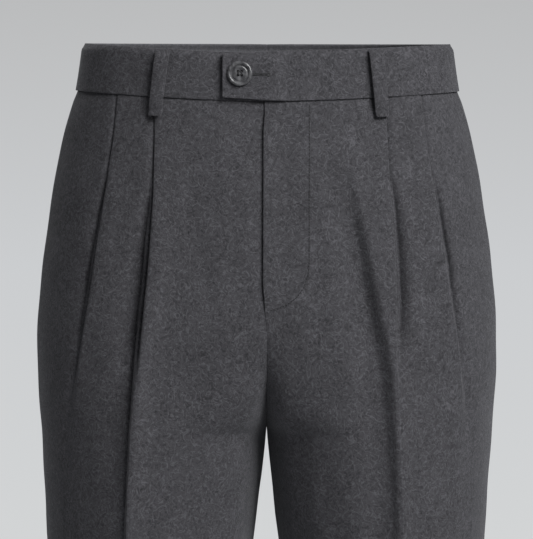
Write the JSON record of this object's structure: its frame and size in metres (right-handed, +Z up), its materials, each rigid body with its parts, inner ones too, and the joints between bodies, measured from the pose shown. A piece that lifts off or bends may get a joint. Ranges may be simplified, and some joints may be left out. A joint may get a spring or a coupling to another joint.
{
  "type": "pleated dress trousers",
  "caption": "Tailored trousers in their worn form, with outward-facing front pleats, a buttoned tab waistband, belt loops and pressed creases.",
  "frame": {"origin": "middle of the waist at half the waistband's height at the side, where the wearer's waist holds the trousers", "axes": "+Z up towards the waist opening, the front faces -Y, +X is the wearer's left"},
  "size_m": [0.3958, 0.2637, 1.0952],
  "materials": {
    "wool": "brushed charcoal wool flannel",
    "horn": "polished dark horn-like resin"
  },
  "bodies": {
    "root": {"front_left": "wool", "front_right": "wool", "back_left": "wool", "back_right": "wool", "waistband_left": "wool", "waistband_right": "wool", "belt_loop_front_left": "wool", "belt_loop_front_right": "wool", "belt_loop_back_left": "wool", "belt_loop_back_right": "wool", "belt_loop_centre_back": "wool", "waist_button": "horn"}
  },
  "joints": []
}
